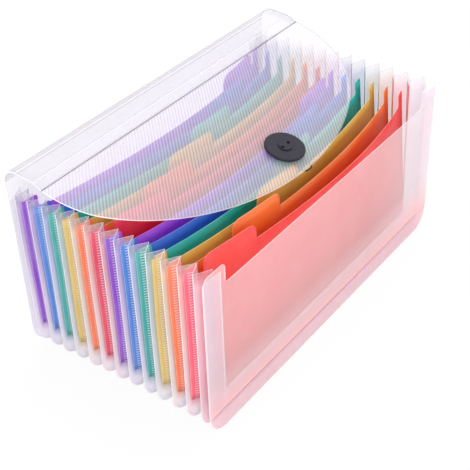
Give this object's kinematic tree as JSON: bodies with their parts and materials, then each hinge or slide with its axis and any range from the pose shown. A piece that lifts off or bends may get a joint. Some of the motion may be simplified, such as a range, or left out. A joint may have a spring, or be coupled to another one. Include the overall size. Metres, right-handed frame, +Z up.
{
  "type": "accordion file folder",
  "caption": "Expanding accordion file folder with a frosted pleated bellows, coloured tabbed dividers, and a rounded flap with a button closure.",
  "frame": {"origin": "middle of the footprint, on the surface that the folder stands on", "axes": "+X to the right along the width, -Y towards the front cover, +Z up"},
  "size_m": [0.26, 0.1446, 0.1365],
  "materials": {
    "frosted_sheet": "frosted clear sheet, satin",
    "frosted_film": "frosted clear film, satin",
    "button_plastic": "satin charcoal",
    "elastic_cord": "braided black",
    "film_purple": "translucent coloured film, satin",
    "film_blue": "translucent coloured film, satin",
    "film_teal": "translucent coloured film, satin",
    "film_yellow": "translucent coloured film, satin",
    "film_orange": "translucent coloured film, satin",
    "film_red": "translucent coloured film, satin",
    "film_coral": "translucent coloured film, satin"
  },
  "bodies": {
    "back": {"back_cover": "frosted_sheet", "rear_weld_frame": "frosted_sheet", "bellows": "frosted_film", "divider_hem_01": "film_purple", "divider_hem_02": "film_blue", "divider_hem_03": "film_teal", "divider_hem_04": "film_yellow", "divider_hem_05": "film_orange", "divider_hem_06": "film_red", "divider_hem_07": "film_purple", "divider_hem_08": "film_blue", "divider_hem_09": "film_teal", "divider_hem_10": "film_yellow", "divider_hem_11": "film_orange", "divider_hem_12": "film_coral"},
    "rear_spine": {"rear_spine": "frosted_sheet"},
    "front_spine": {"front_spine": "frosted_sheet"},
    "flap": {"flap": "frosted_sheet", "flap_button": "button_plastic", "elastic_loop": "elastic_cord"},
    "front": {"front_cover": "frosted_sheet", "front_weld_frame": "frosted_sheet"},
    "divider_01": {"divider_01": "film_purple"},
    "divider_02": {"divider_02": "film_blue"},
    "divider_03": {"divider_03": "film_teal"},
    "divider_04": {"divider_04": "film_yellow"},
    "divider_05": {"divider_05": "film_orange"},
    "divider_06": {"divider_06": "film_red"},
    "divider_07": {"divider_07": "film_purple"},
    "divider_08": {"divider_08": "film_blue"},
    "divider_09": {"divider_09": "film_teal"},
    "divider_10": {"divider_10": "film_yellow"},
    "divider_11": {"divider_11": "film_orange"},
    "divider_12": {"divider_12": "film_coral"}
  },
  "joints": [
    {"name": "back_crease", "type": "hinge", "parent": "back", "child": "rear_spine", "pos_m": [0, 0.0723, 0.1265], "axis": [-1, 0, 0], "range_deg": [0, 110]},
    {"name": "middle_crease", "type": "hinge", "parent": "rear_spine", "child": "front_spine", "pos_m": [0, 0.04788, 0.13528], "axis": [-1, 0, 0], "range_deg": [0, 70]},
    {"name": "flap_crease", "type": "hinge", "parent": "front_spine", "child": "flap", "pos_m": [0, 0.04111, 0.13183], "axis": [-1, 0, 0], "range_deg": [0, 70]},
    {"name": "bellows_slide", "type": "slide", "parent": "back", "child": "front", "axis": [0, 1, 0], "range_m": [0, 0.1144], "deforming": ["bellows", "divider_hem_01", "divider_hem_02", "divider_hem_03", "divider_hem_04", "divider_hem_05", "divider_hem_06", "divider_hem_07", "divider_hem_08", "divider_hem_09", "divider_hem_10", "divider_hem_11", "divider_hem_12"]},
    {"name": "divider_01_slide", "type": "slide", "parent": "back", "child": "divider_01", "axis": [0, 1, 0], "range_m": [0, 0.0088], "deforming": ["divider_01"]},
    {"name": "divider_02_slide", "type": "slide", "parent": "back", "child": "divider_02", "axis": [0, 1, 0], "range_m": [0, 0.0176], "deforming": ["divider_02"]},
    {"name": "divider_03_slide", "type": "slide", "parent": "back", "child": "divider_03", "axis": [0, 1, 0], "range_m": [0, 0.0264], "deforming": ["divider_03"]},
    {"name": "divider_04_slide", "type": "slide", "parent": "back", "child": "divider_04", "axis": [0, 1, 0], "range_m": [0, 0.0352], "deforming": ["divider_04"]},
    {"name": "divider_05_slide", "type": "slide", "parent": "back", "child": "divider_05", "axis": [0, 1, 0], "range_m": [0, 0.044], "deforming": ["divider_05"]},
    {"name": "divider_06_slide", "type": "slide", "parent": "back", "child": "divider_06", "axis": [0, 1, 0], "range_m": [0, 0.0528], "deforming": ["divider_06"]},
    {"name": "divider_07_slide", "type": "slide", "parent": "back", "child": "divider_07", "axis": [0, 1, 0], "range_m": [0, 0.0616], "deforming": ["divider_07"]},
    {"name": "divider_08_slide", "type": "slide", "parent": "back", "child": "divider_08", "axis": [0, 1, 0], "range_m": [0, 0.0704], "deforming": ["divider_08"]},
    {"name": "divider_09_slide", "type": "slide", "parent": "back", "child": "divider_09", "axis": [0, 1, 0], "range_m": [0, 0.0792], "deforming": ["divider_09"]},
    {"name": "divider_10_slide", "type": "slide", "parent": "back", "child": "divider_10", "axis": [0, 1, 0], "range_m": [0, 0.088], "deforming": ["divider_10"]},
    {"name": "divider_11_slide", "type": "slide", "parent": "back", "child": "divider_11", "axis": [0, 1, 0], "range_m": [0, 0.0968], "deforming": ["divider_11"]},
    {"name": "divider_12_slide", "type": "slide", "parent": "back", "child": "divider_12", "axis": [0, 1, 0], "range_m": [0, 0.1056], "deforming": ["divider_12"]}
  ],
  "couplings": [
    {"joint": "divider_01_slide", "follows": "bellows_slide", "ratio": 0.076923},
    {"joint": "divider_02_slide", "follows": "bellows_slide", "ratio": 0.15385},
    {"joint": "divider_03_slide", "follows": "bellows_slide", "ratio": 0.23077},
    {"joint": "divider_04_slide", "follows": "bellows_slide", "ratio": 0.30769},
    {"joint": "divider_05_slide", "follows": "bellows_slide", "ratio": 0.38462},
    {"joint": "divider_06_slide", "follows": "bellows_slide", "ratio": 0.46154},
    {"joint": "divider_07_slide", "follows": "bellows_slide", "ratio": 0.53846},
    {"joint": "divider_08_slide", "follows": "bellows_slide", "ratio": 0.61538},
    {"joint": "divider_09_slide", "follows": "bellows_slide", "ratio": 0.69231},
    {"joint": "divider_10_slide", "follows": "bellows_slide", "ratio": 0.76923},
    {"joint": "divider_11_slide", "follows": "bellows_slide", "ratio": 0.84615},
    {"joint": "divider_12_slide", "follows": "bellows_slide", "ratio": 0.92308}
  ]
}
